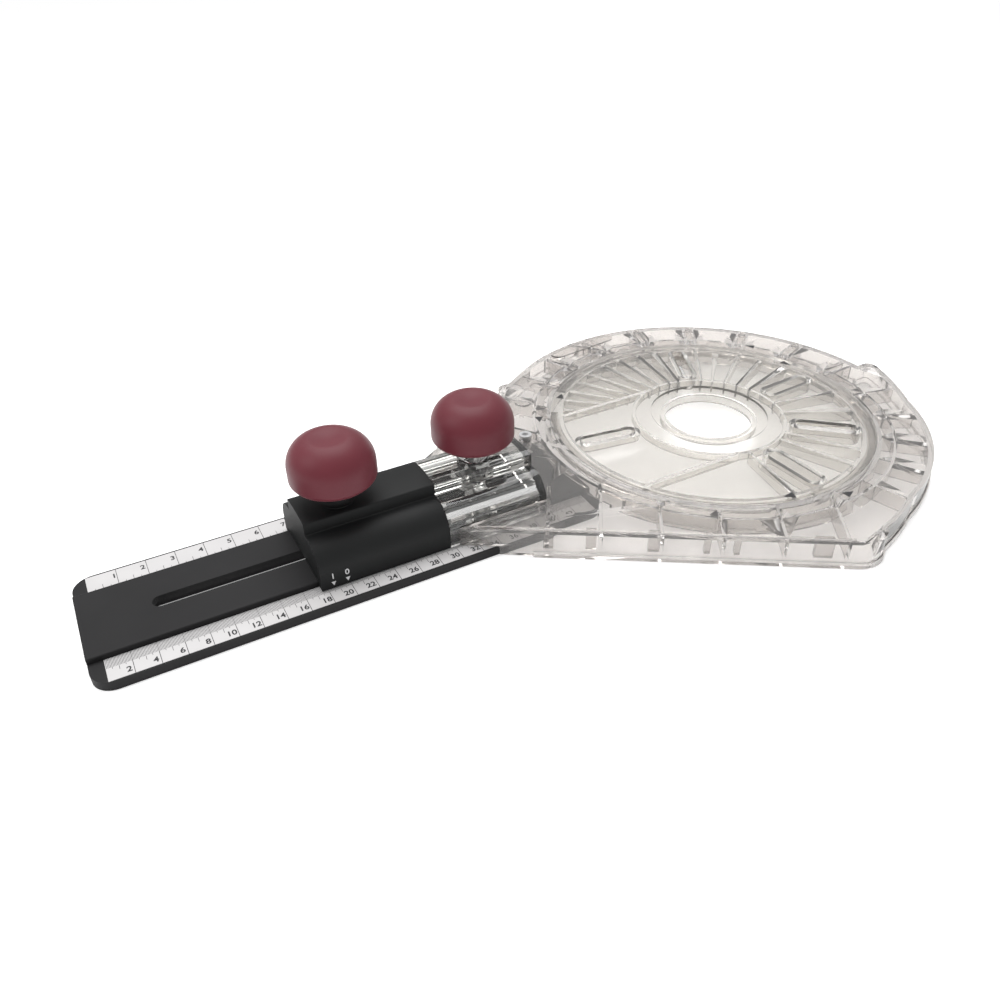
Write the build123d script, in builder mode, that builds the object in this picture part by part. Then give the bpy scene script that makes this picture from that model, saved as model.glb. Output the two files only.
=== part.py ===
# Router circle cutting jig. A flat scale bar turns on a pin driven into the work. A clear
# guide frame straddles the bar and is clamped to it by two knobs, and the round plate in
# the frame carries the router. The scales read the diameter of the circle being cut.
# Lengths are in millimetres. Z = 0 is the work surface, the bar's pivot hole is at
# X = 0, Y = 0, and the cutter's axis is at X = pivot_to_cutter, Y = 0.
import os
from math import cos, radians, sin

from build123d import *

os.makedirs("parts", exist_ok=True)

# The set circle: distance from the pivot hole to the cutter's axis
pivot_to_cutter = 96.0

# Scale bar
bar_length = 231.7
bar_width = 70.0
bar_height = 7.0
bar_corner = 9.0
bar_past_pivot = 6.0
ledge_thick = 4.4
band_width = 42.0
edge_round = 0.8
pivot_hole_radius = 3.2
slot_width = 7.0
slot_left = -193.5
slot_right = -14.0
track_width = 11.6
track_depth = 3.8
core_length = 16.0
core_width = 9.6
core_depth = 4.4
core_pitch = 20.0
core_spread = 27.4
core_count = 10

# Scale tapes, let into the ledges
tape_thick = 0.35
tape_width = 13.0
tape_centre = 27.7
tape_inset = 6.0

# Carriage block, and the housing moulded on the guide frame beside it
joint_to_cutter = 168.0
carriage_length = 60.5
carriage_top = 31.0
housing_length = 50.0
housing_top = 28.5
arch_half_width = 25.5
arch_shoulder = 11.0
arch_flank_width_share = 0.81
arch_flank_height_share = 0.62
arch_wall = 2.6
boss_radius = 8.0
front_knob_from_joint = -41.5
rear_knob_from_joint = 25.5
housing_rib_places = (-15.5, -9.5, 9.5, 15.5)
rib_thick = 1.6

# Guide frame
frame_height = 14.0
deck_thick = 2.8
rim_radius = 112.4
rim_wall = 2.6
edge_angle = 123.0
near_edge = 110.5
lobe_radius = 13.0
lobe_along = 53.3
ear_radius = 6.0
ear_along = -24.7
flare_reach = 121.5
flare_corner = 4.0
flare_start = 6.0
flare_middle_angle = -45.0
flare_middle = 108.6
flare_end_angle = -89.0
flare_end = 119.0
flange_thick = 3.0
flange_reach = 1.2
flange_left = -136.0
pad_angle = 140.0
pad_place = 101.0
pad_length = 22.0
pad_width = 9.0
pad_height = 0.8
outer_ring_radius = 95.4
rib_lift = 3.0
rim_rib_angles = (3.0, 21.0, 39.0, 57.0, 75.0, 93.0, 111.0)
rim_rib_spread = 6.0
edge_rib_places = (-84.0, -60.0, -33.0, -6.0, 21.0, 48.0)
edge_rib_length = 40.0
flare_rib_angles = (-15.0, -30.0, -45.0, -60.0, -75.0)

# Seat of the turning plate
plate_radius = 85.4
plate_gap = 0.3
seat_wall = 2.5
seat_inner = 81.3
seat_bottom = 7.6
seat_thick = 1.6
lock_turn = 18.0
lug_angles = (0.0, 120.0, 240.0)
lug_half_angle = 8.0
notch_half_angle = 8.8
lug_radius = 84.4
lug_thick = 2.0
lug_gap = 0.2

# Turning plate
plate_thick = 2.6
skirt_thick = 1.9
cutter_hole_radius = 23.3
hub_wall = 2.4
recess_radius = 31.0
recess_depth = 1.4
inner_ring_radius = 41.0
plate_rib_count = 30
plate_rib_clear_angle = 7.0
bar_way_half = 37.0
bar_way_left = -68.0
bar_way_right = -10.0
screw_slot_angles = (172.0, 65.0, -42.0)
screw_slot_start = 48.0
screw_slot_end = 73.0
screw_slot_width = 6.5
screw_slot_wall = 2.0

# Clamp bolts, washers, knobs and their threaded inserts
bolt_radius = 3.0
bolt_head = 11.0
bolt_head_thick = 3.0
bolt_in_knob = 16.0
washer_radius = 9.0
washer_thick = 1.4
knob_radius = 19.05
knob_height = 33.0
knob_foot_radius = 13.0
knob_skirt_height = 8.5
knob_shoulder_height = 17.5
knob_crown_radius = 12.0
knob_crown_height = 31.0
insert_radius = 5.5
insert_length = 13.0

# Small screws
screw_radius = 1.5
screw_head_radius = 3.2
screw_head_thick = 2.2
screw_length = 7.0
screw_boss_radius = 3.2
join_screw_spread = 26.0
join_screw_height = 16.0
lock_screw_x = -99.0
lock_screw_y = 27.0
drive_radius = 1.6
drive_depth = 1.2

# Clearances
sliding_gap = 0.3
thread_gap = 0.06
floor_gap = 0.4
knob_gap = 0.1

# Places that follow from the sizes above
bar_left = bar_past_pivot - bar_length
bar_centre = (bar_left + bar_past_pivot) / 2
slot_centre = (slot_left + slot_right) / 2
joint_x = pivot_to_cutter - joint_to_cutter
carriage_left = joint_x - carriage_length
housing_right = joint_x + housing_length
front_knob_x = joint_x + front_knob_from_joint
rear_knob_x = joint_x + rear_knob_from_joint
deck_bottom = frame_height - deck_thick
ledge_clear = ledge_thick + sliding_gap
ledge_clear_half = bar_width / 2 + sliding_gap
band_clear = bar_height + sliding_gap
band_clear_half = band_width / 2 + sliding_gap
seat_radius = plate_radius + plate_gap
seat_top = seat_bottom + seat_thick
plate_bottom = frame_height - plate_thick
skirt_radius = seat_inner - plate_gap
lug_top = seat_bottom - lug_gap
knob_foot = washer_thick + knob_gap


def over_cutter(height):
    """Level plane at a height, with its origin on the cutter's axis."""
    return Plane(origin=(pivot_to_cutter, 0, height))


def across_arm(x):
    """Upright plane across the arm: its first direction is Y and its second is Z."""
    return Plane(origin=(x, 0, 0), x_dir=(0, 1, 0), z_dir=(1, 0, 0))


def around(angle, radius):
    """Point on a circle about the cutter's axis."""
    return (radius * cos(radians(angle)), radius * sin(radians(angle)))


def beside_edge(along, outward, side):
    """Point by a straight edge of the frame: how far along it, and out from the axis."""
    turn = radians(edge_angle)
    x = outward * cos(turn) + along * sin(turn)
    y = outward * sin(turn) - along * cos(turn)
    return (x, side * y)


def ring(outer, inner):
    """Flat ring about the sketch's origin."""
    with BuildSketch(mode=Mode.PRIVATE) as face:
        Circle(outer)
        Circle(inner, mode=Mode.SUBTRACT)
    return face.sketch


def sector(middle, half_angle, outer, inner):
    """Piece of a ring, for lugs and notches."""
    low = middle - half_angle
    high = middle + half_angle
    with BuildSketch(mode=Mode.PRIVATE) as face:
        with BuildLine():
            ThreePointArc(around(low, outer), around(middle, outer), around(high, outer))
            Line(around(high, outer), around(high, inner))
            ThreePointArc(around(high, inner), around(middle, inner), around(low, inner))
            Line(around(low, inner), around(low, outer))
        make_face()
    return face.sketch


def arch(half_width, top):
    """Arch that stands on the ledge clearance: convex flanks up to a flat top."""
    flank = half_width * arch_flank_width_share
    flank_height = ledge_clear + (top - ledge_clear) * arch_flank_height_share
    foot = (half_width, ledge_clear)
    shoulder = (arch_shoulder, top)
    with BuildSketch(mode=Mode.PRIVATE) as face:
        with BuildLine():
            ThreePointArc(foot, (flank, flank_height), shoulder)
            Line(shoulder, (-arch_shoulder, top))
            ThreePointArc((-arch_shoulder, top), (-flank, flank_height), (-half_width, ledge_clear))
            Line((-half_width, ledge_clear), foot)
        make_face()
    return face.sketch


def frame_outline():
    """Plan of the guide frame about the cutter's axis, without its bottom flange."""
    wing_end = -joint_to_cutter
    near_foot = (near_edge - arch_half_width * sin(radians(edge_angle))) / cos(radians(edge_angle))
    far_foot = (rim_radius - arch_half_width * sin(radians(edge_angle))) / cos(radians(edge_angle))
    near_tangent = beside_edge(0, near_edge, -1)
    lobe = beside_edge(lobe_along, near_edge - lobe_radius, -1)
    corner_centre = flare_reach - flare_corner
    with BuildSketch(mode=Mode.PRIVATE) as face:
        Circle(rim_radius)
        with BuildLine():
            Polyline(beside_edge(-lobe_along, near_edge, -1), beside_edge(lobe_along, near_edge, -1),
                     beside_edge(lobe_along, 2 * near_edge, -1),
                     beside_edge(-lobe_along, 2 * near_edge, -1), close=True)
        make_face(mode=Mode.SUBTRACT)
        with BuildLine():
            Polyline((0, 0), near_tangent, (near_foot, -arch_half_width), (wing_end, -arch_half_width),
                     (wing_end, arch_half_width), (far_foot, arch_half_width),
                     beside_edge(0, rim_radius, 1), close=True)
        make_face()
        with BuildLine():
            Polyline((0, 0), near_tangent, beside_edge(lobe_along, near_edge, -1), lobe, close=True)
        make_face()
        with BuildLine():
            ThreePointArc((flare_reach, -flare_start), around(flare_middle_angle, flare_middle),
                          around(flare_end_angle, flare_end))
            Polyline(around(flare_end_angle, flare_end), (0, 0), (corner_centre, 0),
                     (flare_reach, -flare_corner), (flare_reach, -flare_start))
        make_face()
        with Locations((corner_centre, -flare_corner)):
            Circle(flare_corner)
        with Locations(lobe):
            Circle(lobe_radius)
        with Locations(beside_edge(ear_along, rim_radius - ear_radius / 2, 1)):
            Circle(ear_radius)
    return face.sketch


def frame_ribs(outline):
    """Ribs between the frame's seat ring and its outer wall, seen in plan."""
    with BuildSketch(mode=Mode.PRIVATE) as face:
        for angle in rim_rib_angles:
            with PolarLocations(rim_radius - seat_wall, 1, angle):
                with GridLocations(1, rim_rib_spread, 1, 2):
                    Rectangle(2 * (rim_radius - seat_radius), rib_thick)
        for angle in flare_rib_angles:
            with PolarLocations(rim_radius, 1, angle):
                Rectangle(2 * (rim_radius - seat_radius), rib_thick)
        for side, place in ((-1, near_edge), (1, rim_radius)):
            for along in edge_rib_places:
                with Locations(Location((*beside_edge(along, place - edge_rib_length / 2, side), 0),
                                        (0, 0, side * edge_angle))):
                    Rectangle(edge_rib_length, rib_thick)
        add(outline, mode=Mode.INTERSECT)
        Circle(seat_radius + seat_wall / 2, mode=Mode.SUBTRACT)
    return face.sketch


# Scale bar: ledges for the tapes, a raised band, and a track for the bolt heads below
with BuildPart() as scale_bar:
    with BuildSketch(Plane.XY):
        with Locations((bar_centre, 0)):
            RectangleRounded(bar_length, bar_width, bar_corner)
    extrude(amount=ledge_thick)
    with BuildSketch(Plane.XY.offset(ledge_thick)):
        with Locations((bar_centre, 0)):
            Rectangle(bar_length, band_width)
    extrude(amount=bar_height - ledge_thick)
    fillet(scale_bar.edges().filter_by(Axis.X).group_by(Axis.Z)[-1], edge_round)
    with BuildSketch(Plane.XY.offset(ledge_thick - tape_thick)):
        with Locations((bar_centre, tape_centre), (bar_centre, -tape_centre)):
            Rectangle(bar_length - 2 * tape_inset, tape_width)
    extrude(amount=tape_thick, mode=Mode.SUBTRACT)
    with BuildSketch(Plane.XY):
        with Locations((slot_centre, 0)):
            SlotCenterToCenter(slot_right - slot_left, slot_width)
        Circle(pivot_hole_radius)
    extrude(amount=bar_height, mode=Mode.SUBTRACT)
    with BuildSketch(Plane.XY):
        with Locations((slot_centre, 0)):
            Rectangle(slot_right - slot_left + track_width, track_width)
    extrude(amount=track_depth, mode=Mode.SUBTRACT)
    with BuildSketch(Plane.XY):
        with Locations((slot_centre, 0)):
            with GridLocations(core_pitch, core_spread, core_count, 2):
                Rectangle(core_length, core_width)
    extrude(amount=core_depth, mode=Mode.SUBTRACT)
scale_bar.part.label = "scale_bar"
export_step(scale_bar.part, "parts/scale_bar.step")


# Scale tapes: centimetres on the near ledge and inches on the far one
for tape_name, tape_side in (("cm_scale", -1), ("inch_scale", 1)):
    with BuildPart() as tape:
        with BuildSketch(Plane.XY.offset(ledge_thick - tape_thick)):
            with Locations((bar_centre, tape_side * tape_centre)):
                Rectangle(bar_length - 2 * tape_inset, tape_width)
        extrude(amount=tape_thick)
    tape.part.label = tape_name
    export_step(tape.part, f"parts/{tape_name}.step")


# Carriage block: an arched black shell across the bar, with a boss for the front bolt
with BuildPart() as carriage_block:
    with BuildSketch(across_arm(carriage_left)):
        add(arch(arch_half_width, carriage_top))
    extrude(amount=carriage_length)
    with BuildSketch(across_arm(carriage_left + arch_wall)):
        add(arch(arch_half_width - arch_wall, carriage_top - arch_wall))
    extrude(amount=carriage_length - 2 * arch_wall, mode=Mode.SUBTRACT)
    with BuildSketch(Plane.XY.offset(carriage_top)):
        with Locations((front_knob_x, 0)):
            Circle(boss_radius)
    extrude(amount=band_clear - carriage_top)
    with BuildSketch(Plane.XY.offset(carriage_top - arch_wall)):
        with Locations((carriage_left + carriage_length / 2, 0)):
            Rectangle(carriage_length - 2 * arch_wall, rib_thick)
        with Locations((front_knob_x, 0)):
            Rectangle(rib_thick, 2 * arch_shoulder)
    extrude(amount=-boss_radius)
    with BuildSketch(across_arm(carriage_left)):
        with Locations((0, band_clear / 2)):
            Rectangle(2 * band_clear_half, band_clear)
    extrude(amount=carriage_length, mode=Mode.SUBTRACT)
    with BuildSketch(Plane.XY):
        with Locations((front_knob_x, 0)):
            Circle(bolt_radius + sliding_gap)
    extrude(amount=carriage_top, mode=Mode.SUBTRACT)
    with BuildSketch(across_arm(joint_x - arch_wall)):
        with Locations((join_screw_spread / 2, join_screw_height),
                       (-join_screw_spread / 2, join_screw_height)):
            Circle(screw_radius)
    extrude(amount=arch_wall, mode=Mode.SUBTRACT)
carriage_block.part.label = "carriage_block"
export_step(carriage_block.part, "parts/carriage_block.step")


# Guide frame: a clear tray, open below, with the arched housing moulded on its wing
outline = frame_outline()
with BuildPart() as guide_frame:
    with BuildSketch(over_cutter(0)):
        add(outline)
    extrude(amount=frame_height)
    with BuildSketch(over_cutter(0)):
        offset(outline, amount=flange_reach, mode=Mode.ADD)
        with Locations((flange_left - rim_radius, 0)):
            Rectangle(2 * rim_radius, 2 * rim_radius, mode=Mode.SUBTRACT)
    extrude(amount=flange_thick)
    with BuildSketch(over_cutter(0)):
        offset(outline, amount=-rim_wall, mode=Mode.ADD)
    extrude(amount=deck_bottom, mode=Mode.SUBTRACT)
    # Rings and ribs under the deck
    with BuildSketch(over_cutter(0)):
        add(ring(seat_radius + seat_wall, seat_radius))
    extrude(amount=deck_bottom)
    with BuildSketch(over_cutter(rib_lift)):
        add(ring(outer_ring_radius, outer_ring_radius - rib_thick))
        add(frame_ribs(outline))
    extrude(amount=deck_bottom - rib_lift)
    # Housing: hollow arch with long ribs, a bolt boss and bosses for the joining screws
    with BuildSketch(across_arm(joint_x)):
        add(arch(arch_half_width, housing_top))
    extrude(amount=housing_length)
    with BuildSketch(across_arm(joint_x + arch_wall)):
        add(arch(arch_half_width - arch_wall, housing_top - arch_wall))
    extrude(amount=housing_length - 2 * arch_wall, mode=Mode.SUBTRACT)
    with BuildSketch(across_arm(joint_x + arch_wall)):
        for place in housing_rib_places:
            with Locations((place, housing_top / 2)):
                Rectangle(rib_thick, housing_top)
        for side in (-1, 1):
            with Locations((side * join_screw_spread / 2, join_screw_height)):
                Circle(screw_boss_radius)
        add(arch(arch_half_width - arch_wall / 2, housing_top - arch_wall / 2), mode=Mode.INTERSECT)
    extrude(amount=housing_length - 2 * arch_wall)
    with BuildSketch(Plane.XY.offset(housing_top)):
        with Locations((rear_knob_x, 0)):
            Circle(boss_radius)
    extrude(amount=band_clear - housing_top)
    # Boss of the lock screw, and the raised pad beside it
    with BuildSketch(over_cutter(band_clear)):
        with Locations((lock_screw_x, lock_screw_y)):
            Circle(screw_boss_radius)
    extrude(amount=deck_bottom - band_clear)
    with BuildSketch(over_cutter(frame_height)):
        with Locations(Location((*around(pad_angle, pad_place), 0), (0, 0, pad_angle + 90))):
            SlotOverall(pad_length, pad_width)
    extrude(amount=pad_height)
    # Way for the bar: a low wide cut over its ledges and a higher one over its band
    with BuildSketch(across_arm(joint_x)):
        with Locations((0, ledge_clear / 2)):
            Rectangle(2 * ledge_clear_half, ledge_clear)
        with Locations((0, band_clear / 2)):
            Rectangle(2 * band_clear_half, band_clear)
    extrude(amount=joint_to_cutter, mode=Mode.SUBTRACT)
    # Seat of the turning plate: open bore, ledge, and notches that let its lugs through
    with BuildSketch(over_cutter(0)):
        Circle(seat_radius)
    extrude(amount=frame_height, mode=Mode.SUBTRACT)
    with BuildSketch(over_cutter(seat_bottom)):
        add(ring(seat_radius + seat_wall / 2, seat_inner))
        for angle in lug_angles:
            add(sector(angle + lock_turn, notch_half_angle, seat_radius, seat_inner / 2),
                mode=Mode.SUBTRACT)
    extrude(amount=seat_thick)
    # Holes for the rear bolt and the screws
    with BuildSketch(Plane.XY):
        with Locations((rear_knob_x, 0)):
            Circle(bolt_radius + sliding_gap)
    extrude(amount=housing_top, mode=Mode.SUBTRACT)
    with BuildSketch(across_arm(joint_x)):
        with Locations((join_screw_spread / 2, join_screw_height),
                       (-join_screw_spread / 2, join_screw_height)):
            Circle(screw_radius)
    extrude(amount=screw_length - arch_wall, mode=Mode.SUBTRACT)
    with BuildSketch(over_cutter(frame_height)):
        with Locations((lock_screw_x, lock_screw_y)):
            Circle(screw_radius)
    extrude(amount=-screw_length, mode=Mode.SUBTRACT)
guide_frame.part.label = "guide_frame"
export_step(guide_frame.part, "parts/guide_frame.step")


def plate_ribs():
    """Ribs of the turning plate in plan, left out over the bar's way and the screw slots."""
    rib_middle = (inner_ring_radius + skirt_radius - skirt_thick / 2) / 2
    rib_length = skirt_radius - skirt_thick / 2 - inner_ring_radius + rib_thick
    way_length = bar_way_right - bar_way_left
    with BuildSketch(mode=Mode.PRIVATE) as face:
        for number in range(plate_rib_count):
            angle = (number + 0.5) * 360 / plate_rib_count
            if any(abs((angle - slot + 180) % 360 - 180) < plate_rib_clear_angle
                   for slot in screw_slot_angles):
                continue
            with PolarLocations(rib_middle, 1, angle):
                Rectangle(rib_length, rib_thick)
        with Locations((bar_way_left - rib_thick, 0)):
            Rectangle(2 * (rib_thick - bar_way_right), 2 * bar_way_half, mode=Mode.SUBTRACT)
        with Locations((bar_way_left, 0)):
            Rectangle(-2 * bar_way_left, 2 * bar_way_half, mode=Mode.SUBTRACT)
        for side in (-1, 1):
            with Locations((bar_way_left + way_length / 2, side * bar_way_half)):
                Rectangle(way_length, rib_thick)
    return face.sketch


# Turning plate: ribbed clear disc with a hub, slots for router screws and locking lugs
with BuildPart() as turn_plate:
    with BuildSketch(over_cutter(plate_bottom)):
        add(ring(plate_radius, cutter_hole_radius))
    extrude(amount=plate_thick)
    with BuildSketch(over_cutter(seat_top)):
        add(ring(plate_radius, skirt_radius - skirt_thick))
    extrude(amount=plate_bottom - seat_top)
    with BuildSketch(over_cutter(seat_bottom)):
        add(ring(skirt_radius, skirt_radius - skirt_thick))
        add(ring(cutter_hole_radius + hub_wall, cutter_hole_radius))
        add(ring(inner_ring_radius, inner_ring_radius - rib_thick))
        add(plate_ribs())
        for angle in screw_slot_angles:
            with PolarLocations((screw_slot_start + screw_slot_end) / 2, 1, angle):
                SlotCenterToCenter(screw_slot_end - screw_slot_start,
                                   screw_slot_width + 2 * screw_slot_wall)
    extrude(amount=plate_bottom - seat_bottom)
    with BuildSketch(over_cutter(lug_top - lug_thick)):
        for angle in lug_angles:
            add(sector(angle, lug_half_angle, lug_radius, skirt_radius - skirt_thick))
    extrude(amount=lug_thick)
    with BuildSketch(over_cutter(lug_top)):
        for angle in lug_angles:
            add(sector(angle, lug_half_angle, skirt_radius, skirt_radius - skirt_thick))
    extrude(amount=lug_gap)
    with BuildSketch(over_cutter(frame_height)):
        add(ring(recess_radius, cutter_hole_radius))
    extrude(amount=-recess_depth, mode=Mode.SUBTRACT)
    with BuildSketch(over_cutter(seat_bottom)):
        for angle in screw_slot_angles:
            with PolarLocations((screw_slot_start + screw_slot_end) / 2, 1, angle):
                SlotCenterToCenter(screw_slot_end - screw_slot_start, screw_slot_width)
    extrude(amount=frame_height - seat_bottom, mode=Mode.SUBTRACT)
turn_plate.part.label = "turn_plate"
export_step(turn_plate.part, "parts/turn_plate.step")


# Clamps: under each knob a washer, and a bolt whose square head runs in the bar's track
for clamp_name, clamp_x, clamp_top in (("front", front_knob_x, carriage_top),
                                       ("rear", rear_knob_x, housing_top)):
    with BuildPart() as bolt:
        with BuildSketch(Plane.XY.offset(floor_gap)):
            with Locations((clamp_x, 0)):
                Rectangle(bolt_head, bolt_head)
        extrude(amount=bolt_head_thick)
        with BuildSketch(Plane.XY.offset(floor_gap + bolt_head_thick)):
            with Locations((clamp_x, 0)):
                Circle(bolt_radius)
        extrude(amount=clamp_top + knob_foot + bolt_in_knob - floor_gap - bolt_head_thick)
    bolt.part.label = f"{clamp_name}_bolt"
    export_step(bolt.part, f"parts/{clamp_name}_bolt.step")

    with BuildPart() as washer:
        with BuildSketch(Plane.XY.offset(clamp_top)):
            with Locations((clamp_x, 0)):
                add(ring(washer_radius, bolt_radius + sliding_gap))
        extrude(amount=washer_thick)
    washer.part.label = f"{clamp_name}_washer"
    export_step(washer.part, f"parts/{clamp_name}_washer.step")

    with BuildPart() as knob:
        with BuildSketch(Plane(origin=(clamp_x, 0, clamp_top + knob_foot), x_dir=(1, 0, 0),
                               z_dir=(0, -1, 0))):
            with BuildLine():
                Line((0, 0), (knob_foot_radius, 0))
                TangentArc((knob_radius, knob_skirt_height), (knob_foot_radius, 0), tangent=(0, -1))
                Line((knob_radius, knob_skirt_height), (knob_radius, knob_shoulder_height))
                TangentArc((knob_radius, knob_shoulder_height),
                           (knob_crown_radius, knob_crown_height), tangent=(0, 1))
                TangentArc((0, knob_height), (knob_crown_radius, knob_crown_height), tangent=(1, 0))
                Line((0, knob_height), (0, 0))
            make_face()
        revolve(axis=Axis((clamp_x, 0, 0), (0, 0, 1)))
        with BuildSketch(Plane.XY.offset(clamp_top + knob_foot)):
            with Locations((clamp_x, 0)):
                Circle(insert_radius)
        extrude(amount=insert_length, mode=Mode.SUBTRACT)
        with BuildSketch(Plane.XY.offset(clamp_top + knob_foot + insert_length)):
            with Locations((clamp_x, 0)):
                Circle(bolt_radius + sliding_gap)
        extrude(amount=bolt_in_knob - insert_length + bolt_radius, mode=Mode.SUBTRACT)
    knob.part.label = f"{clamp_name}_knob"
    export_step(knob.part, f"parts/{clamp_name}_knob.step")

    with BuildPart() as insert:
        with BuildSketch(Plane.XY.offset(clamp_top + knob_foot)):
            with Locations((clamp_x, 0)):
                add(ring(insert_radius, bolt_radius + thread_gap))
        extrude(amount=insert_length)
    insert.part.label = f"{clamp_name}_insert"
    export_step(insert.part, f"parts/{clamp_name}_insert.step")


# Joining screws: they draw the carriage block to the housing, with heads inside the block
with BuildPart() as join_screws:
    for side in (-1, 1):
        with BuildSketch(across_arm(joint_x - arch_wall)):
            with Locations((side * join_screw_spread / 2, join_screw_height)):
                Circle(screw_head_radius)
        extrude(amount=-screw_head_thick)
        with BuildSketch(across_arm(joint_x - arch_wall)):
            with Locations((side * join_screw_spread / 2, join_screw_height)):
                Circle(screw_radius)
        extrude(amount=screw_length)
        with BuildSketch(across_arm(joint_x - arch_wall - screw_head_thick)):
            with Locations((side * join_screw_spread / 2, join_screw_height)):
                Circle(drive_radius)
        extrude(amount=drive_depth, mode=Mode.SUBTRACT)
join_screws.part.label = "join_screws"
export_step(join_screws.part, "parts/join_screws.step")


# Lock screw: holds the turning plate's rim down beside the housing
with BuildPart() as lock_screw:
    with BuildSketch(over_cutter(frame_height)):
        with Locations((lock_screw_x, lock_screw_y)):
            Circle(screw_head_radius)
    extrude(amount=screw_head_thick)
    with BuildSketch(over_cutter(frame_height)):
        with Locations((lock_screw_x, lock_screw_y)):
            Circle(screw_radius)
    extrude(amount=-screw_length)
    with BuildSketch(over_cutter(frame_height + screw_head_thick)):
        with Locations((lock_screw_x, lock_screw_y)):
            Circle(drive_radius)
    extrude(amount=-drive_depth, mode=Mode.SUBTRACT)
lock_screw.part.label = "lock_screw"
export_step(lock_screw.part, "parts/lock_screw.step")
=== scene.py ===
# Router circle cutting jig: the scale bar, the carriage on it, the clear guide frame with
# its turning plate, and the two clamp knobs, in the order in which they go together.
import math

import bmesh
import bpy
from mathutils import Matrix, Vector


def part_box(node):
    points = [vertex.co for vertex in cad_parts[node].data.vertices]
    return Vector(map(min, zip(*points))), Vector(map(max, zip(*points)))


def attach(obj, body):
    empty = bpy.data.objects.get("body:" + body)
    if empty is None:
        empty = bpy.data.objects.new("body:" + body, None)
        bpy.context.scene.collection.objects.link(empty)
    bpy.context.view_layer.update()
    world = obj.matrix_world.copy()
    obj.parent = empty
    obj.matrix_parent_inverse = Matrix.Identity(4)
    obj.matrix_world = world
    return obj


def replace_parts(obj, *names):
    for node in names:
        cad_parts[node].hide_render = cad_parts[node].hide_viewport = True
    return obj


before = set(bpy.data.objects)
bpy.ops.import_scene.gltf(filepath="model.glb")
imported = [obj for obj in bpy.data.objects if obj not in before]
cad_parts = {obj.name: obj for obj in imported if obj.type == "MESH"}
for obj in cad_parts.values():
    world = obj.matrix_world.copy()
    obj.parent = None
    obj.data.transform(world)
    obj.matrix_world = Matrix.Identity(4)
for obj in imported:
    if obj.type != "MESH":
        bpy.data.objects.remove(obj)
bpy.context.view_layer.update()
MM = 0.001


# Camera
# It stands in front of the arm and to its left, and looks down on it at about 35 degrees.
camera_place = Vector((-194.6, -302.0, 244.5)) * MM
camera_right = Vector((0.877052, -0.480207, -0.013417))
camera_up = Vector((0.287420, 0.502157, 0.815615))
camera_back = Vector((-0.384927, -0.719193, 0.578439))
lens_length = 30.77
sensor_width = 36.0
nearest_seen = 0.01
camera = bpy.data.objects.new("camera", bpy.data.cameras.new("camera"))
camera.data.lens = lens_length
camera.data.sensor_width = sensor_width
camera.data.clip_start = nearest_seen
camera.matrix_world = Matrix.Translation(camera_place) @ Matrix(
    (camera_right, camera_up, camera_back)).transposed().to_4x4()
bpy.context.collection.objects.link(camera)
bpy.context.scene.camera = camera


# Studio
# A plain white floor with a faint light of its own, under a broad overhead light and a
# smaller one from the left. The surround is white above and grey low down, which draws the
# edges of the clear mouldings.
class Wire:
    """A socket in a material's nodes. Arithmetic on wires adds Math nodes."""

    def __init__(self, tree, socket=None):
        self.tree = tree
        self.socket = socket

    def node(self, kind, settings=None, sockets=None, out=0):
        """Adds a node: its settings first, then the values or links of its sockets."""
        made = self.tree.nodes.new("ShaderNode" + kind)
        for name, value in (settings or {}).items():
            if name == "stops":
                while len(made.color_ramp.elements) < len(value):
                    made.color_ramp.elements.new(1.0)
                for element, (place, colour) in zip(made.color_ramp.elements, value):
                    element.position = place
                    element.color = (*colour, 1.0)
            else:
                setattr(made, name, value)
        for name, value in (sockets or {}).items():
            if isinstance(value, Wire):
                self.tree.links.new(value.socket, made.inputs[name])
            else:
                made.inputs[name].default_value = value
        return Wire(self.tree, made.outputs[out])

    def math(self, operation, first, second):
        return self.node("Math", {"operation": operation}, {0: first, 1: second})

    def __add__(self, other):
        return self.math("ADD", self, other)

    def __mul__(self, other):
        return self.math("MULTIPLY", self, other)

    __radd__ = __add__
    __rmul__ = __mul__


def finish_of(name, **values):
    """A new material with its shader's constant values set. Returns both and a Wire."""
    material = bpy.data.materials.new(name)
    material.use_nodes = True
    shader = material.node_tree.nodes["Principled BSDF"]
    for key, value in values.items():
        shader.inputs[key.replace("_", " ")].default_value = value
    return material, shader, Wire(material.node_tree)


def add_piece(name, mesh, material, body=None):
    """Adds a mesh as a piece, with its finish and the body that it rides on."""
    piece = bpy.data.objects.new(name, mesh)
    mesh.materials.append(material)
    bpy.context.collection.objects.link(piece)
    if body:
        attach(piece, body)
    return piece


floor_half = 4.0
floor_drop = 0.0002
floor_mesh = bpy.data.meshes.new("floor")
floor_mesh.from_pydata(
    [(x * floor_half, y * floor_half, -floor_drop) for x, y in ((-1, -1), (1, -1), (1, 1), (-1, 1))],
    [], [(0, 1, 2, 3)])
floor_paint = finish_of("floor", Base_Color=(0.93, 0.93, 0.93, 1), Roughness=0.9,
                        Emission_Color=(1.0, 1.0, 1.0, 1), Emission_Strength=0.3)[0]
add_piece("floor", floor_mesh, floor_paint)


def add_light(name, place, size, power):
    """A square area light that faces the bar's pivot hole."""
    light = bpy.data.lights.new(name, "AREA")
    light.size = size
    light.energy = power
    lamp = bpy.data.objects.new(name, light)
    lamp.location = place
    lamp.rotation_euler = (-Vector(place)).to_track_quat("-Z", "Y").to_euler()
    bpy.context.collection.objects.link(lamp)


add_light("overhead", (0.05, 0.35, 1.1), size=1.0, power=12.0)
add_light("left_fill", (-0.9, 0.1, 0.8), size=0.6, power=3.0)

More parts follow.
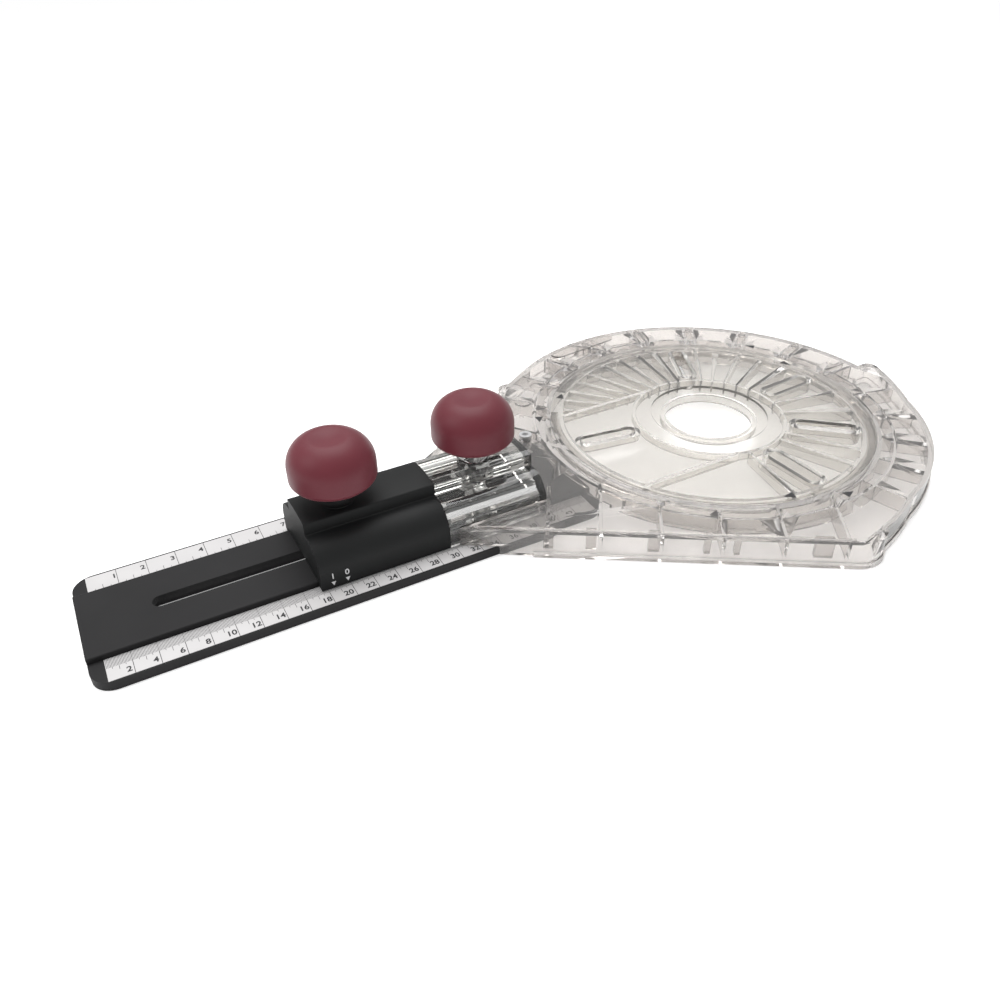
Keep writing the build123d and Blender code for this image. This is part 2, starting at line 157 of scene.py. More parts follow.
low_grey = (0.42, 0.41, 0.41)
surround_tones = ((0.0, low_grey), (0.16, low_grey), (0.34, (0.80, 0.80, 0.80)), (1.0, (1.0, 1.0, 1.0)))
surround_strength = 0.85
world = bpy.data.worlds.new("surround")
world.use_nodes = True
sky = Wire(world.node_tree)
direction = sky.node("TexCoord", out="Generated")
height = sky.node("SeparateXYZ", {}, {"Vector": direction}, out="Z")
dome = sky.node("ValToRGB", {"stops": surround_tones}, {"Fac": height})
background = world.node_tree.nodes["Background"]
world.node_tree.links.new(dome.socket, background.inputs["Color"])
background.inputs["Strength"].default_value = surround_strength
bpy.context.scene.world = world
bpy.context.scene.view_settings.view_transform = "Standard"


# Scale bar
# A charcoal moulding, satin from a finely sparked mould, with side ledges for the tapes and
# a long slot through its raised band.
def feed(shader, name, wire):
    """Links a wire to one of a shader's sockets."""
    wire.tree.links.new(wire.socket, shader.inputs[name])


def noise(start, scale, detail=2.0):
    """Noise from 0 to 1 all through a piece, finer where its scale is higher."""
    place = start.node("TexCoord", out="Object")
    return start.node("TexNoise", {}, {"Vector": place, "Scale": scale, "Detail": detail})


def between(factor, dark, light):
    """A colour between two others. The Mix node's colour sockets go by their numbers."""
    dark_socket, light_socket, colour_out = 6, 7, 2
    return factor.node("Mix", {"data_type": "RGBA"}, {
        "Factor": factor, dark_socket: (*dark, 1), light_socket: (*light, 1)}, out=colour_out)


def bumps(height, strength, depth):
    """Small bumps in a surface, as a normal."""
    return height.node("Bump", {}, {"Strength": strength, "Distance": depth, "Height": height})


def coat_with(material, *names):
    """Gives CAD nodes their finish."""
    for name in names:
        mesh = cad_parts[name].data
        mesh.materials.clear()
        mesh.materials.append(material)


cloud_scale = 28.0
spark_scale = 2600.0
spark_depth = 0.04 * MM


def moulded_black(name, dark, light, roughness):
    """Satin black plastic: a fine spark texture over slow changes of tone."""
    material, shader, start = finish_of(name, Specular_IOR_Level=0.2)
    slow = noise(start, cloud_scale, detail=3.0)
    grain = noise(start, spark_scale)
    tone = start.node("MapRange", {}, {"Value": slow, "From Min": 0.3, "From Max": 0.7})
    feed(shader, "Base Color", between(tone, dark, light))
    feed(shader, "Roughness", roughness + 0.12 * slow + 0.05 * grain)
    feed(shader, "Normal", bumps(grain, 0.35, spark_depth))
    return material


charcoal = (0.010, 0.0097, 0.0104)
charcoal_worn = (0.016, 0.0156, 0.0164)
coat_with(moulded_black("bar plastic", charcoal, charcoal_worn, roughness=0.5), "scale_bar")


# Scale tapes
# White film let into the ledges, printed in black: diameters in centimetres on the near
# side and in inches on the far one, counted from the tape's outer end.
def mottled(name, scale, detail, dark, light, rough, rougher, **values):
    """A finish whose colour and roughness both follow one noise."""
    material, shader, start = finish_of(name, **values)
    cloudy = noise(start, scale, detail)
    feed(shader, "Base Color", between(cloudy, dark, light))
    feed(shader, "Roughness", rough + rougher * cloudy)
    return material


tape_film = mottled("tape film", scale=90.0, detail=3.0, dark=(0.50, 0.49, 0.49),
                    light=(0.55, 0.54, 0.54), rough=0.35, rougher=0.15, Specular_IOR_Level=0.4)
coat_with(tape_film, "cm_scale", "inch_scale")
ink = mottled("black ink", scale=900.0, detail=2.0, dark=(0.018, 0.018, 0.02),
              light=(0.05, 0.05, 0.052), rough=0.5, rougher=0.2, Specular_IOR_Level=0.3)
ink_thick = 0.02 * MM
scale_zero = -219.8 * MM
half_inch = 12.7 * MM
tick_half = 0.085 * MM
whole_tick_half = 0.119 * MM
digit_height = 2.9 * MM
digit_weight = 0.11 * MM
digit_gap = 0.8 * MM
capital_share = 0.7


def slab(mesh, low, high):
    """Adds a box between two corners to a bmesh."""
    middle = (Vector(low) + Vector(high)) / 2
    size = Vector(high) - Vector(low)
    where = Matrix.Translation(middle) @ Matrix.Diagonal((*size, 1.0))
    bmesh.ops.create_cube(mesh, size=1.0, matrix=where)


def word_mesh(words, height, weight):
    """Flat lettering about its own middle, with capitals of a height, as a mesh."""
    curve = bpy.data.curves.new("words", "FONT")
    curve.body = words
    curve.size = height / capital_share
    curve.offset = weight
    curve.extrude = ink_thick / 2
    curve.align_x = "CENTER"
    curve.align_y = "CENTER"
    holder = bpy.data.objects.new("words", curve)
    mesh = bpy.data.meshes.new_from_object(holder)
    bpy.data.objects.remove(holder)
    return mesh


def print_tape(name, node, side, tick_step, reaches, label_step, label_value, label_place):
    """Ticks and numbers of one tape. reaches gives a tick's share of the tape's width for
    every so many ticks, and label_place is a number's place across it."""
    low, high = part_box(node)
    inner, outer = (high.y, low.y) if side < 0 else (low.y, high.y)
    width = outer - inner
    top = high.z
    printing = bmesh.new()
    number = 1
    while scale_zero + number * tick_step < high.x - tick_step:
        x = scale_zero + number * tick_step
        reach = next(share for every, share in reaches if number % every == 0)
        near, far = sorted((inner, inner + width * reach))
        half = whole_tick_half if reach == 1.0 else tick_half
        slab(printing, (x - half, near, top), (x + half, far, top + ink_thick))
        number += 1
    label = 1
    while scale_zero + label * label_step < high.x - label_step / 2:
        words = word_mesh(str(label * label_value), digit_height, digit_weight)
        wide = max(v.co.x for v in words.vertices) - min(v.co.x for v in words.vertices)
        x = scale_zero + label * label_step - digit_gap - wide / 2
        words.transform(Matrix.Translation((x, inner + width * label_place, top + ink_thick / 2)))
        printing.from_mesh(words)
        label += 1
    mesh = bpy.data.meshes.new(name)
    printing.to_mesh(mesh)
    printing.free()
    add_piece(name, mesh, ink, "bar")


print_tape("cm_print", "cm_scale", side=-1, tick_step=0.5 * MM,
           reaches=((20, 1.0), (10, 0.62), (5, 0.5), (1, 0.43)),
           label_step=10.0 * MM, label_value=2, label_place=0.76)
print_tape("inch_print", "inch_scale", side=1, tick_step=half_inch / 8,
           reaches=((8, 1.0), (4, 0.42), (2, 0.28), (1, 0.16)),
           label_step=half_inch, label_value=1, label_place=0.66)


# Carriage block
# A deep black moulding, screwed to the clear housing: a round-cornered arch with a raised
# roof strip, and a collar that the knob's washer turns on.
def drafted(low_outline, high_outline, low, high, upright=True):
    """Closed shape between two outlines with as many points: in plan between two heights,
    or across the arm between two places along X."""
    mesh = bmesh.new()
    rings = []
    for outline, level in ((low_outline, low), (high_outline, high)):
        places = [(*point, level) if upright else (level, *point) for point in outline]
        rings.append([mesh.verts.new(place) for place in places])
    lower, upper = rings
    for here in range(len(lower)):
        after = (here + 1) % len(lower)
        mesh.faces.new((lower[here], lower[after], upper[after], upper[here]))
    mesh.faces.new(lower[::-1])
    mesh.faces.new(upper)
    bmesh.ops.recalc_face_normals(mesh, faces=mesh.faces)
    return mesh


def prism(outline, low, high, upright=True):
    """Closed shape with the same outline from end to end."""
    return drafted(outline, outline, low, high, upright)


def lathe(outline, centre, steps=96, loop=False):
    """Turned shape on an upright axis, from (radius, height) points. Points of radius zero
    close its ends, and a loop closes on itself as a ring does."""
    mesh = bmesh.new()
    turns = [math.tau * step / steps for step in range(steps)]
    rings = []
    for radius, height in outline:
        if radius == 0:
            rings.append([mesh.verts.new((*centre, height))])
            continue
        rings.append([mesh.verts.new((centre[0] + radius * math.cos(turn),
                                      centre[1] + radius * math.sin(turn), height))
                      for turn in turns])
    pairs = list(zip(rings, rings[1:])) + ([(rings[-1], rings[0])] if loop else [])
    for lower, upper in pairs:
        for here in range(steps):
            after = (here + 1) % steps
            if len(lower) == 1:
                mesh.faces.new((lower[0], upper[after], upper[here]))
            elif len(upper) == 1:
                mesh.faces.new((lower[here], lower[after], upper[0]))
            else:
                mesh.faces.new((lower[here], lower[after], upper[after], upper[here]))
    bmesh.ops.recalc_face_normals(mesh, faces=mesh.faces)
    return mesh


def join(name, shapes, smooth_under=35):
    """Puts closed shapes into one mesh and smooths what turns by less than an angle."""
    whole = bmesh.new()
    for shape in shapes:
        part = bpy.data.meshes.new("part")
        shape.to_mesh(part)
        shape.free()
        whole.from_mesh(part)
        bpy.data.meshes.remove(part)
    mesh = bpy.data.meshes.new(name)
    whole.to_mesh(mesh)
    whole.free()
    mesh.shade_smooth()
    mesh.set_sharp_from_angle(angle=math.radians(smooth_under))
    return mesh


def arc(centre, radius, steps, end=math.pi / 2):
    """Points of an arc in a section, from its outermost point up to an angle."""
    turns = [end * step / steps for step in range(steps + 1)]
    return [(centre[0] + radius * math.cos(turn), centre[1] + radius * math.sin(turn))
            for turn in turns]


def middle_of(node):
    """The middle of a CAD node along the arm."""
    low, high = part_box(node)
    return (low.x + high.x) / 2


carriage_low, carriage_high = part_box("carriage_block")
carriage_end_gap = 0.1 * MM
arch_half = carriage_high.y
arch_foot = carriage_low.z
shoulder_height = 24.7 * MM
shoulder_corner = 12.0 * MM
shoulder_steps = 12
roof_half = 11.2 * MM
roof_top = 31.6 * MM
roof_crown = 0.9 * MM
roof_ease = 0.9 * MM
roof_steps = 6
band_way_half = 21.3 * MM
band_way_top = 7.3 * MM
collar_top = 38.6 * MM
collar_radius = 6.4 * MM
collar_edge = 0.4 * MM
collar_root = 1.0 * MM
flare_radius = 8.4 * MM
flare_size = 2.0 * MM
flare_root = 0.1 * MM
flare_steps = 6
front_knob_x = middle_of("front_knob")
rear_knob_x = middle_of("rear_knob")


def half_arch(inset):
    """Half of the arch's section, from its foot up to the middle of its roof."""
    half = arch_half - inset
    corner = shoulder_corner - inset
    top = shoulder_height - inset
    roof = roof_half - inset
    edge = roof_top - roof_crown - inset
    points = [(half, arch_foot)] + arc((half - corner, top - corner), corner, shoulder_steps)
    points += [(roof + roof_ease / 2, top), (roof, top + roof_ease / 2)]
    points += arc((roof - roof_ease, edge - roof_ease), roof_ease, roof_steps)
    for step in range(1, roof_steps + 1):
        y = (roof - roof_ease) * (1 - step / roof_steps)
        points.append((y, edge + roof_crown * (1 - (y / roof) ** 2)))
    return points


def whole_arch(inset):
    """The arch's section from one foot to the other."""
    half = half_arch(inset)
    return half + [(-y, z) for y, z in reversed(half[:-1])]


def collar(x):
    """Collar under a knob, flared where it grows out of the roof."""
    root = roof_top - collar_root
    flare_foot = roof_top - flare_root
    outline = [(0, root), (flare_radius, root), (flare_radius, flare_foot)]
    for step in range(1, flare_steps + 1):
        turn = math.pi / 2 * step / flare_steps
        outline.append((flare_radius - flare_size * math.sin(turn),
                        flare_foot + flare_size * (1 - math.cos(turn))))
    outline += [(collar_radius, collar_top - collar_edge), (collar_radius - collar_edge, collar_top),
                (0, collar_top)]
    return lathe(outline, (x, 0))


carriage_plastic = moulded_black("carriage plastic", (0.0065, 0.007, 0.0072), (0.010, 0.0108, 0.011),
                                 roughness=0.46)
bar_way = [(-band_way_half, arch_foot), (-band_way_half, band_way_top),
           (band_way_half, band_way_top), (band_way_half, arch_foot)]
carriage_block = prism(whole_arch(0) + bar_way, carriage_low.x, carriage_high.x - carriage_end_gap,
                       upright=False)
carriage = add_piece("carriage_shell", join("carriage_shell", [carriage_block, collar(front_knob_x)]),
                     carriage_plastic, "frame")
softened = carriage.modifiers.new("softened edges", "BEVEL")
softened.width = 0.55 * MM
softened.segments = 3
softened.limit_method = "ANGLE"
softened.angle_limit = math.radians(38)
softened.harden_normals = True
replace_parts(carriage, "carriage_block")

# White marks on the near flank read the scale for the inside and the outside of the cut
white_ink = mottled("white ink", scale=800.0, detail=2.0, dark=(0.52, 0.52, 0.53),
                    light=(0.66, 0.66, 0.67), rough=0.45, rougher=0.2, Specular_IOR_Level=0.3)
cutter_axis = (96.0 * MM, 0.0)
cutter_radius = 3.175 * MM
mark_size = 2.1 * MM
mark_base = arch_foot + 1.4 * MM
mark_word_middle = mark_base + 2.3 * mark_size
mark_word_height = 2.8 * MM
mark_word_weight = 0.05 * MM
marks = bmesh.new()
for mark_shift, mark_word in ((-cutter_radius, "I"), (cutter_radius, "0")):
    x = scale_zero + cutter_axis[0] + mark_shift
    corners = [(x, mark_base), (x + mark_size / 2, mark_base + mark_size),
               (x - mark_size / 2, mark_base + mark_size)]
    marks.faces.new([marks.verts.new((across, 0, up)) for across, up in corners])
    word = word_mesh(mark_word, mark_word_height, mark_word_weight)
    word.transform(Matrix.Translation((x, 0, mark_word_middle)) @ Matrix.Rotation(math.pi / 2, 4, "X"))
    marks.from_mesh(word)
for vertex in marks.verts:
    vertex.co.y -= arch_half + ink_thick
mark_mesh = bpy.data.meshes.new("index_marks")
marks.to_mesh(mark_mesh)
marks.free()
add_piece("index_marks", mark_mesh, white_ink, "frame")


# Guide frame and housing
# Clear mouldings, polished where they are seen through, with faint flow marks. The tray is
# open below and ribbed, and the housing is an arch with long ribs inside it.
clear_ior = 1.49
flow_scale = 45.0
flow_depth = 0.2 * MM


def clear_moulding(name, tint, clarity):
    """Clear plastic, a little cloudy, with slow ripples in its surface."""
    material, shader, start = finish_of(name, Base_Color=(*tint, 1), Transmission_Weight=clarity,
                                        IOR=clear_ior, Specular_IOR_Level=0.5)
    flow = noise(start, flow_scale)
    feed(shader, "Roughness", 0.02 + 0.05 * flow)
    feed(shader, "Normal", bumps(flow, 0.25, flow_depth))
    return material


def combine(mesh, other, operation):
    """Takes another mesh's shape out of a mesh, or joins the two into one skin."""
    subject = bpy.data.objects.new("subject", mesh)
    tool = bpy.data.objects.new("tool", other)
    for holder in (subject, tool):
        bpy.context.collection.objects.link(holder)
    trim = subject.modifiers.new("trim", "BOOLEAN")
    trim.operation = operation
    trim.solver = "EXACT"
    trim.use_self = operation == "UNION"
    trim.object = tool
    ready = subject.evaluated_get(bpy.context.evaluated_depsgraph_get())
    result = bpy.data.meshes.new_from_object(ready)
    for holder in (subject, tool):
        bpy.data.objects.remove(holder)
    result.materials.clear()
    return result


def add_clear(name, mesh, material, body):
    """Adds a clear moulding whose flat faces stay flat beside its curved ones."""
    mesh.shade_smooth()
    mesh.set_sharp_from_angle(angle=math.radians(20))
    piece = add_piece(name, mesh, material, body)
    even = piece.modifiers.new("even normals", "WEIGHTED_NORMAL")
    even.keep_sharp = True
    even.weight = 100
    return piece


def box(low, high):
    """A box between two corners, as a shape."""
    shape = bmesh.new()
    slab(shape, low, high)
    return shape


def rod(centre, radius, low, high, steps=96):
    """An upright round bar."""
    return lathe([(0, low), (radius, low), (radius, high), (0, high)], centre, steps)


plate_clear = clear_moulding("clear plastic", tint=(0.845, 0.825, 0.795), clarity=0.94)
# The frame's tint is darker than the plate's: painted shade, which darkens the edges of its rim.
shaded_tray_clear = clear_moulding("frame clear plastic with painted shade", tint=(0.825, 0.80, 0.78), clarity=0.94)
housing_clear = clear_moulding("housing clear plastic", tint=(0.92, 0.92, 0.905), clarity=0.98)
# The thick blocks' tint is darker still: partly the greyer look of thick plastic, partly painted shade.
shaded_thick_clear = clear_moulding("thick clear plastic with painted shade", tint=(0.70, 0.675, 0.66), clarity=0.94)
clear_gap = 0.06 * MM
cut_past = 1.0 * MM
frame_top = 14.0 * MM
deck_bottom = 11.2 * MM
housing_left = carriage_high.x + clear_gap
housing_right = housing_left + 50.0 * MM
housing_wall = 2.6 * MM

# The ledge under the plate's rim is set lower by a hair, so that no two clear faces meet
ledge_height = 9.2 * MM
ledge_inner, ledge_outer = 81.0 * MM, 86.0 * MM
ledge_drop = 0.15 * MM
height_margin = 0.02 * MM
tray_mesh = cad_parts["guide_frame"].data.copy()
for vertex in tray_mesh.vertices:
    reach = math.hypot(vertex.co.x - cutter_axis[0], vertex.co.y)
    if abs(vertex.co.z - ledge_height) < height_margin and ledge_inner < reach < ledge_outer:
        vertex.co.z -= ledge_drop
place_of_housing = join("place_of_housing", [box(
    (housing_left - cut_past, -arch_half - clear_gap, -cut_past),
    (housing_right + clear_gap, arch_half + clear_gap, collar_top))])
tray = add_clear("clear_tray", combine(tray_mesh, place_of_housing, "DIFFERENCE"), shaded_tray_clear, "frame")
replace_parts(tray, "guide_frame")

# The inner face of the housing's arch has a tooth at every second step, but not low down or
# under the middle of the roof
flute_step = 1.5 * MM
flute_depth = 1.5 * MM
flute_foot = 9.0 * MM
plain_roof_half = 4.5 * MM
fluted = []
walk = [Vector(point) for point in whole_arch(housing_wall)]
carried, tooth = 0.0, 0
for here, after in zip(walk, walk[1:]):
    span = after - here
    inward = Vector((-span.y, span.x)).normalized()
    while span.length > 0 and carried <= span.length:
        point = here + span.normalized() * carried
        toothed = tooth % 2 and point.y > flute_foot and abs(point.x) > plain_roof_half
        fluted.append(tuple(point + inward * (flute_depth if toothed else 0.0)))
        carried += flute_step
        tooth += 1
    carried -= span.length
shell_section = whole_arch(0) + [(-arch_half + housing_wall, arch_foot)] + fluted[::-1]
shell = join("shell", [prism(shell_section, housing_left, housing_right, upright=False)])

# Inside it stand an end wall, set in by a skin's thickness, and the rear bolt's boss
skin = 0.05 * MM
boss_radius = 8.0 * MM
boss_foot, boss_top = 7.4 * MM, 27.0 * MM
bolt_hole_radius = 3.3 * MM
bolt_hole_top = 45.0 * MM
inside = [prism(whole_arch(skin) + bar_way, housing_right - housing_wall, housing_right - skin,
                upright=False),
          rod((rear_knob_x, 0), boss_radius, boss_foot, boss_top),
          collar(rear_knob_x)]
housing_mesh = combine(shell, join("inside", inside), "UNION")
bolt_hole = join("bolt_hole", [rod((rear_knob_x, 0), bolt_hole_radius, 0, bolt_hole_top)])
add_clear("housing_arch", combine(housing_mesh, bolt_hole, "DIFFERENCE"), housing_clear, "frame")


def on_circle(angle, radius):
    """Point on a circle about the cutter's axis, in plan."""
    turn = math.radians(angle)
    return (cutter_axis[0] + radius * math.cos(turn), cutter_axis[1] + radius * math.sin(turn))


def stadium(angle, radius, length, width, turned=0.0):
    """Plan of a round-ended patch laid along a circle, or turned from it by an angle."""
    end_steps = 12
    along = math.radians(angle + 90 + turned)
    middle = Vector(on_circle(angle, radius))
    points = []
    for end, facing in ((1, 0), (-1, math.pi)):
        centre = middle + Vector((math.cos(along), math.sin(along))) * (end * (length - width) / 2)
        for step in range(end_steps + 1):
            turn = along + facing - math.pi / 2 + math.pi * step / end_steps
            points.append(tuple(centre + Vector((math.cos(turn), math.sin(turn))) * (width / 2)))
    return points


# The far rim carries a bare raised pad, and a row of posts with dimpled caps
on_deck = frame_top + clear_gap
under_deck = deck_bottom - clear_gap
pad_plan = stadium(97.5, 104.8 * MM, 47.0 * MM, 8.5 * MM)
pad_height = 0.8 * MM
post_angles = (21.0, 39.0, 57.0, 75.0)
post_circle = 107.2 * MM
post_radius = 2.4 * MM
post_foot = 3.0 * MM
post_steps = 32
cap_top, dimple_floor = 14.9 * MM, 14.4 * MM
cap_outline = [(0, on_deck), (2.3 * MM, on_deck), (2.0 * MM, cap_top), (1.1 * MM, cap_top),
               (1.0 * MM, dimple_floor), (0, dimple_floor)]
frame_extras = [prism(pad_plan, on_deck, frame_top + pad_height)]
for angle in post_angles:
    post_place = on_circle(angle, post_circle)
    frame_extras.append(rod(post_place, post_radius, post_foot, under_deck, post_steps))
    frame_extras.append(lathe(cap_outline, post_place, post_steps))


def edge_strip(start, end, inner, outer):
    """Plan of a strip by the frame's straight near edge, from one place along it to
    another, and between two distances out from the cutter's axis."""
    edge_turn = math.radians(123)
    return [(cutter_axis[0] + outward * math.cos(edge_turn) + along * math.sin(edge_turn),
             cutter_axis[1] - outward * math.sin(edge_turn) + along * math.cos(edge_turn))
            for along, outward in ((start, inner), (end, inner), (end, outer), (start, outer))]


# The wall of the near edge has thick blocks behind it and a bead on top
near_edge = 110.5 * MM
rim_wall = 2.6 * MM
block_depth = 3.0 * MM
block_foot = 3.2 * MM
block_ends = ((-85.7, -81.2), (-66.7, -62.0), (-39.0, -34.0), (-14.2, -11.5), (-1.0, 1.5), (33.7, 41.7))
bead_height = 0.7 * MM
bead_foot = edge_strip(-117.0 * MM, 50.0 * MM, near_edge - 2.2 * MM, near_edge - 0.4 * MM)
bead_crest = edge_strip(-116.5 * MM, 49.5 * MM, near_edge - 1.8 * MM, near_edge - 0.8 * MM)
frame_extras.append(drafted(bead_foot, bead_crest, on_deck, frame_top + bead_height))
edge_blocks = [prism(edge_strip(start * MM, end * MM, near_edge - rim_wall - block_depth,
                                near_edge - rim_wall - clear_gap), block_foot, under_deck)
               for start, end in block_ends]
add_clear("frame_posts_and_pad", join("frame_posts_and_pad", frame_extras), shaded_tray_clear, "frame")
add_clear("edge_blocks", join("edge_blocks", edge_blocks), shaded_thick_clear, "frame")


# Turning plate
# The router stands on it: a clear disc with a recess round the cutter's hole, stiffened
# below by rings, tapered ribs and the walls of its screw slots.
plate_under = 11.4 * MM
ring_foot = 7.6 * MM
rim_under = 9.3 * MM
recess_floor = 12.6 * MM
hole_radius, hole_ring = 23.3 * MM, 25.7 * MM
recess_radius = 31.0 * MM
inner_ring = (39.2 * MM, 41.0 * MM)
outer_ring = (78.8 * MM, 80.9 * MM)
plate_radius = 85.4 * MM
disc_outline = [
    (hole_radius, ring_foot), (hole_ring, ring_foot), (hole_ring, plate_under),
    (inner_ring[0], plate_under), (inner_ring[0], ring_foot),
    (inner_ring[1], ring_foot), (inner_ring[1], plate_under),
    (outer_ring[0], plate_under), (outer_ring[0], ring_foot),
    (outer_ring[1], ring_foot), (outer_ring[1], rim_under),
    (plate_radius, rim_under), (plate_radius, frame_top),
    (recess_radius, frame_top), (recess_radius, recess_floor), (hole_radius, recess_floor)]
disc_mesh = join("disc", [lathe(disc_outline, cutter_axis, 180, loop=True)])

# Three slots go through the plate and two pockets stay shut. Each is a radial stadium, given
# as its length and width below and above, and has a wall round it under the plate.
slot_angles = (172.0, 65.0, -42.0)
pocket_angles = (4.0, -87.0)
slot_middle = 60.5 * MM
slot_below, slot_above = (32.1 * MM, 7.1 * MM), (31.1 * MM, 6.1 * MM)
wall_below, wall_above = (35.5 * MM, 10.0 * MM), (37.0 * MM, 11.5 * MM)
slot_low = 3.0 * MM
slot_high = 16.0 * MM
pocket_high = 10.9 * MM
rib_foot = 4.6 * MM
rib_draft = 0.45
into_plate = 0.4 * MM
over_bar_foot = 7.6 * MM
over_bar_angle = 140


def radial_slot(angle, below, above, low, high):
    """A drafted stadium that points at the cutter's axis."""
    return drafted(stadium(angle, slot_middle, *below, 90), stadium(angle, slot_middle, *above, 90),
                   low, high)


def foot_at(angle):
    """Where ribs and walls end below. It is higher over the bar."""
    return over_bar_foot if abs(angle) > over_bar_angle else rib_foot


def rib(angle, start, end, start_half, end_half):
    """Tapered rib under the plate, from one radius to another, narrower at its foot."""
    across = math.radians(angle + 90)
    side = Vector((math.cos(across), math.sin(across)))
    near, far = Vector(on_circle(angle, start)), Vector(on_circle(angle, end))
    plans = []
    for share in (rib_draft, 1.0):
        near_side, far_side = side * start_half * share, side * end_half * share
        corners = (near - near_side, far - far_side, far + far_side, near + near_side)
        plans.append([tuple(corner) for corner in corners])
    return drafted(*plans, foot_at(angle), plate_under + into_plate)


# Each rib's angle and half its width at the outer ring, in millimetres. On the bar's side the
# ribs start outside the walls of the bar's way.
ribs = ((16, 2.4), (27, 1.4), (37, 1.4), (47, 2.0), (56, 1.2), (75, 2.2), (83, 1.4), (93, 1.4),
        (102, 2.2), (112, 1.4), (121, 1.4), (130, 1.6), (138, 1.4), (146, 1.4), (-11, 1.5),
        (-26, 2.6), (-57, 1.5), (-68, 2.0), (-100, 1.6))
rib_start, rib_end = 40.4 * MM, 79.4 * MM
rib_start_half = 0.8 * MM
bar_way_half = 38.0 * MM
beside_bar = bar_way_half + 2.0 * MM
way_wall_half = 1.3 * MM
way_wall_foot = 7.65 * MM
way_wall_far, way_wall_near = 70.0 * MM, 12.0 * MM
plate_shapes = []
for angle, end_half in ribs:
    turn = math.radians(angle)
    start = max(rib_start, beside_bar / abs(math.sin(turn))) if math.cos(turn) < 0 else rib_start
    plate_shapes.append(rib(angle, start, rib_end, rib_start_half, end_half * MM))
for angle in (*slot_angles, *pocket_angles):
    plate_shapes.append(radial_slot(angle, wall_below, wall_above, foot_at(angle),
                                    plate_under + into_plate))
for side in (-1, 1):
    plate_shapes.append(box(
        (cutter_axis[0] - way_wall_far, side * bar_way_half - way_wall_half, way_wall_foot),
        (cutter_axis[0] - way_wall_near, side * bar_way_half + way_wall_half,
         plate_under + into_plate)))
openings = [radial_slot(angle, slot_below, slot_above, slot_low,
                        slot_high if angle in slot_angles else pocket_high)
            for angle in (*slot_angles, *pocket_angles)]
ribbed_mesh = combine(disc_mesh, join("under_plate", plate_shapes), "UNION")
plate_mesh = combine(ribbed_mesh, join("openings", openings), "DIFFERENCE")
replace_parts(add_clear("clear_plate", plate_mesh, plate_clear, "plate"), "turn_plate")

# Black arrow marks show where the plate goes in and where it locks
arrow_length = 5.6 * MM
arrow_width = 4.4 * MM
arrow_under = frame_top + 0.02 * MM
arrow_over = frame_top + 0.12 * MM
arrow_sets = (("plate_arrows", "plate", 81.5 * MM, (136.5, 16.5, -103.5), -1),
              ("frame_arrows", "frame", 92.0 * MM, (154.5, 34.5, -85.5), 1))
for name, body, radius, angles, turn_sign in arrow_sets:
    arrows = []
    for angle in angles:
        middle = Vector(on_circle(angle, radius))
        across = Vector((math.cos(math.radians(angle)), math.sin(math.radians(angle))))
        ahead = Vector((-across.y, across.x)) * turn_sign
        plan = [middle + ahead * arrow_length / 2,
                middle - ahead * arrow_length / 2 + across * arrow_width / 2,
                middle - ahead * arrow_length / 2 - across * arrow_width / 2]
        arrows.append(prism([tuple(point) for point in plan], arrow_under, arrow_over))
    add_piece(name, join(name, arrows), ink, body)


# Clamp bolts, washers, bushes and screws
# Bolts, washers and screws of plated steel, bright but brushed. A turned brass bush with the
# bolt's thread sits in the foot of each knob.
steel = mottled("plated steel", scale=700.0, detail=3.0, dark=(0.55, 0.55, 0.56),
                light=(0.72, 0.72, 0.72), rough=0.22, rougher=0.2, Metallic=1.0)
brass = mottled("turned brass", scale=900.0, detail=2.0, dark=(0.62, 0.43, 0.18),
                light=(0.76, 0.56, 0.26), rough=0.25, rougher=0.15, Metallic=1.0)
coat_with(steel, "front_bolt", "rear_bolt", "join_screws", "lock_screw")
washer_bore, washer_radius = 3.3 * MM, 7.6 * MM
washer_edge = 0.1 * MM
washer_top = collar_top + 1.0 * MM
washer_outline = [
    (washer_bore, collar_top), (washer_radius - washer_edge, collar_top),
    (washer_radius, collar_top + washer_edge), (washer_radius, washer_top - washer_edge),
    (washer_radius - washer_edge, washer_top), (washer_bore, washer_top)]
knob_foot = 39.7 * MM
bush_bore, bush_radius = 3.1 * MM, 5.5 * MM
bush_length = 11.0 * MM
bush_outline = [(bush_bore, knob_foot), (bush_radius, knob_foot),
                (bush_radius, knob_foot + bush_length), (bush_bore, knob_foot + bush_length)]
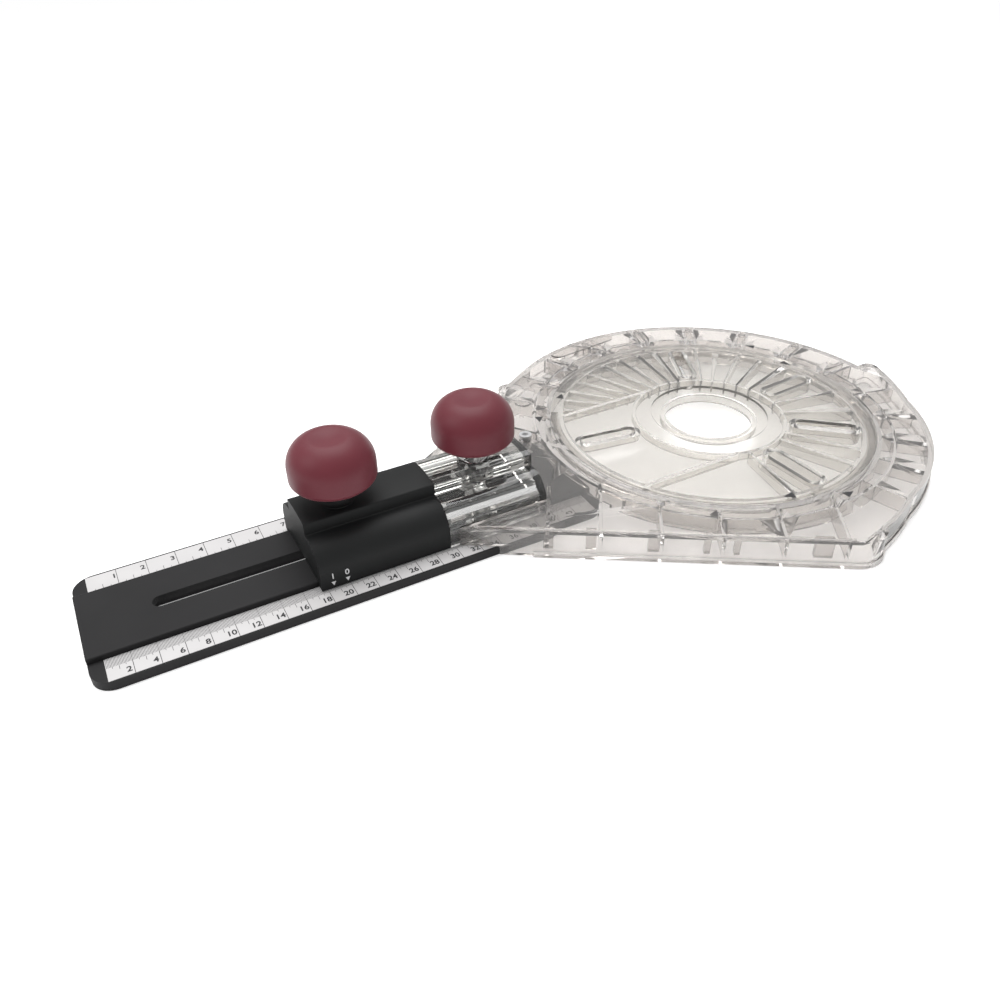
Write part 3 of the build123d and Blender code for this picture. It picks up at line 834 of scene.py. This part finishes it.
for name, x in (("front", front_knob_x), ("rear", rear_knob_x)):
    washer = join("washer", [lathe(washer_outline, (x, 0), 64, loop=True)])
    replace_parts(add_piece(f"{name}_clamp_washer", washer, steel, "frame"), f"{name}_washer")
    bush = join("bush", [lathe(bush_outline, (x, 0), 64, loop=True)])
    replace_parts(add_piece(f"{name}_knob_bush", bush, brass, f"{name}_clamp"), f"{name}_insert")


# Clamp knobs
# Soft-faced burgundy mouldings, drawn in below, domed above with a shallow dish on top.
knob_paint, knob_shader, start = finish_of("knob burgundy", Specular_IOR_Level=0.26,
                                           Sheen_Weight=0.05, Sheen_Roughness=0.5)
knob_dark = (0.104, 0.014, 0.022)
knob_light = (0.128, 0.019, 0.029)
soft = noise(start, 60.0, detail=3.0)
feed(knob_shader, "Base Color", between(soft, knob_dark, knob_light))
feed(knob_shader, "Roughness", 0.4 + 0.1 * soft)
feed(knob_shader, "Normal", bumps(noise(start, 3000.0), 0.3, spark_depth))

knob_radius = 19.05 * MM
knob_height = 22.5 * MM
knob_under_radius = 13.2 * MM
knob_bore = 5.6 * MM
knob_bore_edge = 0.3 * MM
knob_skirt = 4.2 * MM
skirt_power = 1.2
skirt_steps = 12
knob_shoulder = 9.8 * MM
knob_dome = 12.9 * MM
dome_end = math.radians(79)
dome_steps = 20
dish_radius = 9.2 * MM
dish_depth = 1.2 * MM
dish_steps = 9
knob_outline = [(0, bush_length), (knob_bore, bush_length), (knob_bore, knob_bore_edge),
                (knob_bore + knob_bore_edge, 0.0)]
for step in range(skirt_steps + 1):
    turn = math.pi / 2 * step / skirt_steps
    out = (knob_radius - knob_under_radius) * math.sin(turn) ** skirt_power
    knob_outline.append((knob_under_radius + out, knob_skirt * (1 - math.cos(turn) ** skirt_power)))
knob_outline += arc((knob_radius - knob_dome, knob_shoulder), knob_dome, dome_steps, dome_end)
for step in range(1, dish_steps + 1):
    share = 1 - step / dish_steps
    knob_outline.append((dish_radius * share, knob_height - dish_depth * (1 - share ** 2) ** 2))
for name, x in (("front", front_knob_x), ("rear", rear_knob_x)):
    outline = [(radius, knob_foot + height) for radius, height in knob_outline]
    knob = join("knob", [lathe(outline, (x, 0), 128)], smooth_under=60)
    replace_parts(add_piece(f"{name}_clamp_knob", knob, knob_paint, f"{name}_clamp"), f"{name}_knob")
